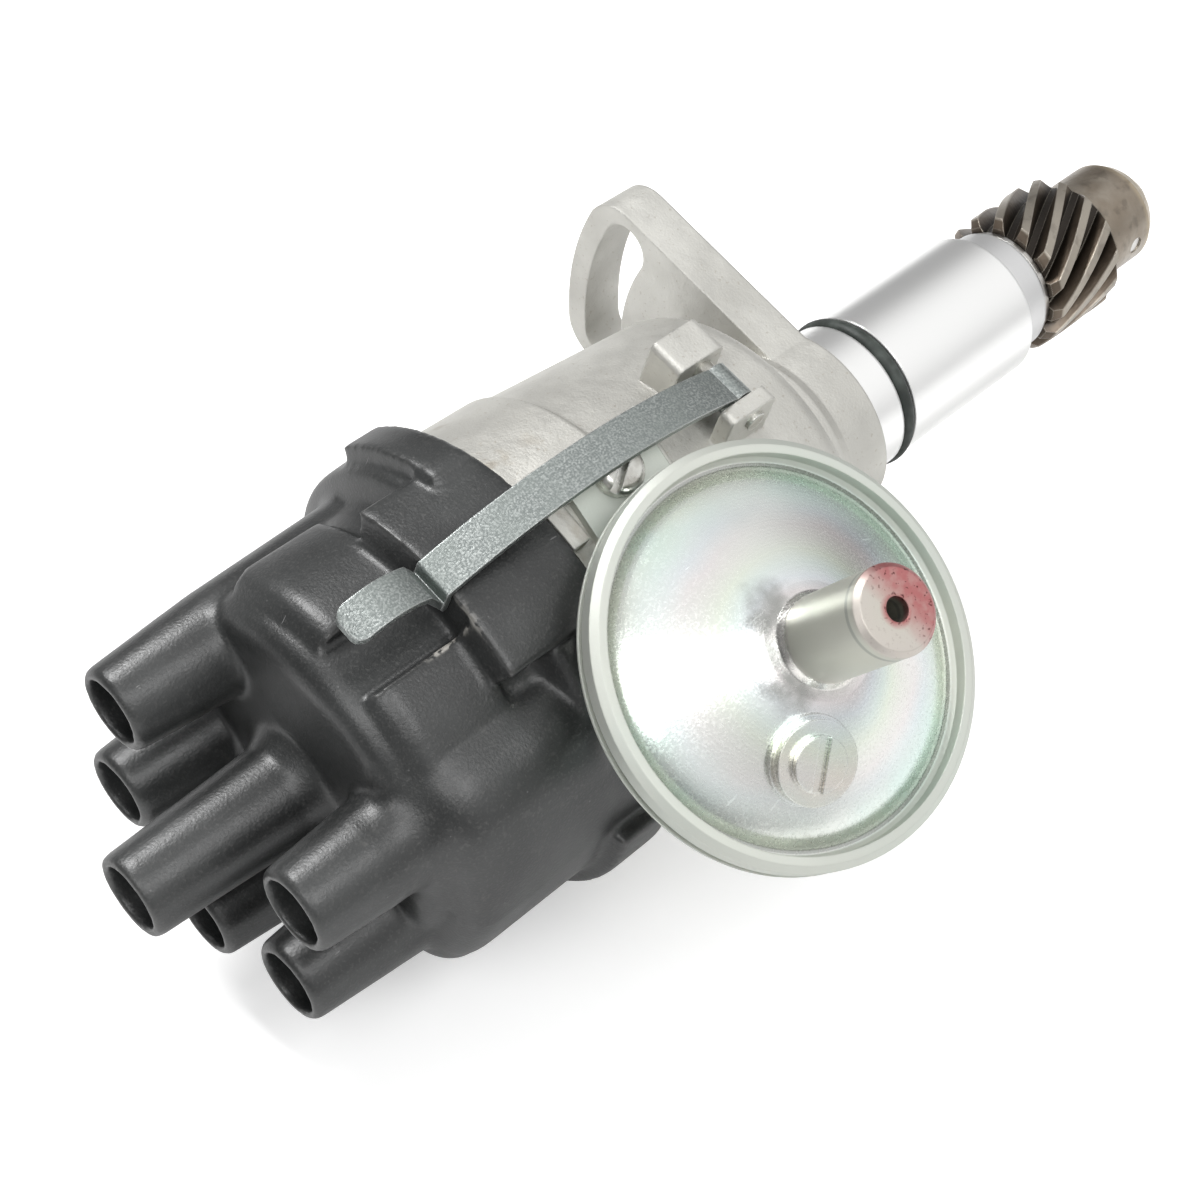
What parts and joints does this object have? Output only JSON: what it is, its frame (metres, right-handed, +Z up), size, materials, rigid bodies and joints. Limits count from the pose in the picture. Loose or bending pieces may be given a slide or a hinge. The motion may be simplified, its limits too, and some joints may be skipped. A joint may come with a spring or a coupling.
{
  "type": "ignition distributor",
  "caption": "Ignition distributor: six-position cap on a cast bowl and stem, with spring clips, vacuum canister, slotted ear and helical drive gear.",
  "frame": {"origin": "on the shaft line, at the mounting ear's face that seats on the engine", "axes": "+X along the shaft from the cap towards the drive gear, +Z up as the unit lies on its side, +Y towards the side that the mounting ear points to"},
  "size_m": [0.2226, 0.1165, 0.0863],
  "materials": {
    "spring_steel": "drawn wire",
    "galvanised_spring": "mottled blue-grey zinc on spring steel",
    "zinc_screws": "bright zinc plate",
    "plated_steel": "zinc plated pressing",
    "black_phenolic": "satin black phenolic moulding",
    "ground_steel": "ground",
    "passivated_zinc": "spun sheet, clear passivated zinc with a faint iridescence",
    "carbon": "carbon",
    "terminal_aluminium": "turned",
    "seal_rubber": "smooth black rubber",
    "oiled_steel": "dark oiled gear steel",
    "cast_aluminium": "matte sand-cast skin, machined bright on the stem",
    "sintered_bronze": "oiled sintered bronze",
    "rotor_moulding": "dark brown phenolic",
    "contact_brass": "satin",
    "fibre": "laminated fibre"
  },
  "bodies": {
    "body": {"back_clip_pin": "zinc_screws", "base_plate": "plated_steel", "bracket_screw": "zinc_screws", "brush_holder": "black_phenolic", "canister_bracket": "passivated_zinc", "canister_front": "passivated_zinc", "canister_plug": "passivated_zinc", "canister_rear": "passivated_zinc", "carbon_brush": "carbon", "centre_terminal": "terminal_aluminium", "diaphragm": "seal_rubber", "distributor_cap": "black_phenolic", "front_clip_pin": "zinc_screws", "housing": "cast_aluminium", "lower_bush": "sintered_bronze", "lower_thrust_washer": "ground_steel", "o_ring": "seal_rubber", "perimeter_terminals": "terminal_aluminium", "plate_screws": "zinc_screws", "return_spring": "spring_steel", "upper_bush": "sintered_bronze", "upper_thrust_washer": "ground_steel"},
    "shaft": {"drive_shaft": "ground_steel", "drive_gear": "oiled_steel", "gear_pin": "ground_steel", "governor_plate": "plated_steel", "governor_pins": "ground_steel", "advance_springs": "spring_steel"},
    "cam": {"cam_sleeve": "ground_steel", "rotor_arm": "rotor_moulding", "rotor_blade": "contact_brass"},
    "weight_1": {"fly_weight_1": "plated_steel"},
    "weight_2": {"fly_weight_2": "plated_steel"},
    "breaker_plate": {"breaker_plate": "plated_steel", "fixed_contact": "plated_steel", "breaker_spring": "spring_steel"},
    "breaker_arm": {"breaker_arm": "plated_steel", "rubbing_block": "fibre"},
    "pull_rod": {"pull_rod": "ground_steel", "diaphragm_piston": "plated_steel"},
    "front_clip": {"front_clip": "galvanised_spring"},
    "back_clip": {"back_clip": "galvanised_spring"}
  },
  "joints": [
    {"name": "shaft_spin", "type": "hinge", "parent": "body", "child": "shaft", "pos_m": [0.045, 0, 0], "axis": [1, 0, 0], "continuous": true},
    {"name": "cam_advance", "type": "hinge", "parent": "shaft", "child": "cam", "pos_m": [-0.05, 0, 0], "axis": [1, 0, 0], "range_deg": [0, 12], "stiffness_Nm_per_rad": 0.05, "deforming": ["advance_springs"]},
    {"name": "weight_1_swing", "type": "hinge", "parent": "shaft", "child": "weight_1", "pos_m": [-0.0298, 0.016, 0], "axis": [-1, 0, 0], "range_deg": [0, 12.1]},
    {"name": "weight_2_swing", "type": "hinge", "parent": "shaft", "child": "weight_2", "pos_m": [-0.0298, -0.016, 0], "axis": [-1, 0, 0], "range_deg": [0, 12.1]},
    {"name": "plate_turn", "type": "hinge", "parent": "body", "child": "breaker_plate", "pos_m": [-0.0529, 0, 0], "axis": [-1, 0, 0], "range_deg": [0, 10], "stiffness_Nm_per_rad": 0.2},
    {"name": "rod_pull", "type": "slide", "parent": "body", "child": "pull_rod", "axis": [0, -0.6088, 0.7934], "range_m": [0, 0.00371], "deforming": ["diaphragm", "return_spring"]},
    {"name": "arm_lift", "type": "hinge", "parent": "breaker_plate", "child": "breaker_arm", "pos_m": [-0.0606, -0.00349, -0.01972], "axis": [-1, 0, 0], "range_deg": [0, 4], "stiffness_Nm_per_rad": 0.05, "deforming": ["breaker_spring"]},
    {"name": "front_clip_swing", "type": "hinge", "parent": "body", "child": "front_clip", "pos_m": [-0.0328, -0.00954, 0.03222], "axis": [0, 0.9588, 0.284], "range_deg": [0, 80]},
    {"name": "back_clip_swing", "type": "hinge", "parent": "body", "child": "back_clip", "pos_m": [-0.0328, 0.00954, -0.03222], "axis": [0, -0.9588, -0.284], "range_deg": [0, 80]}
  ],
  "couplings": [
    {"joint": "weight_1_swing", "follows": "cam_advance", "ratio": 1},
    {"joint": "weight_2_swing", "follows": "cam_advance", "ratio": 1},
    {"joint": "rod_pull", "follows": "plate_turn", "m_per_rad": 0.0212}
  ]
}
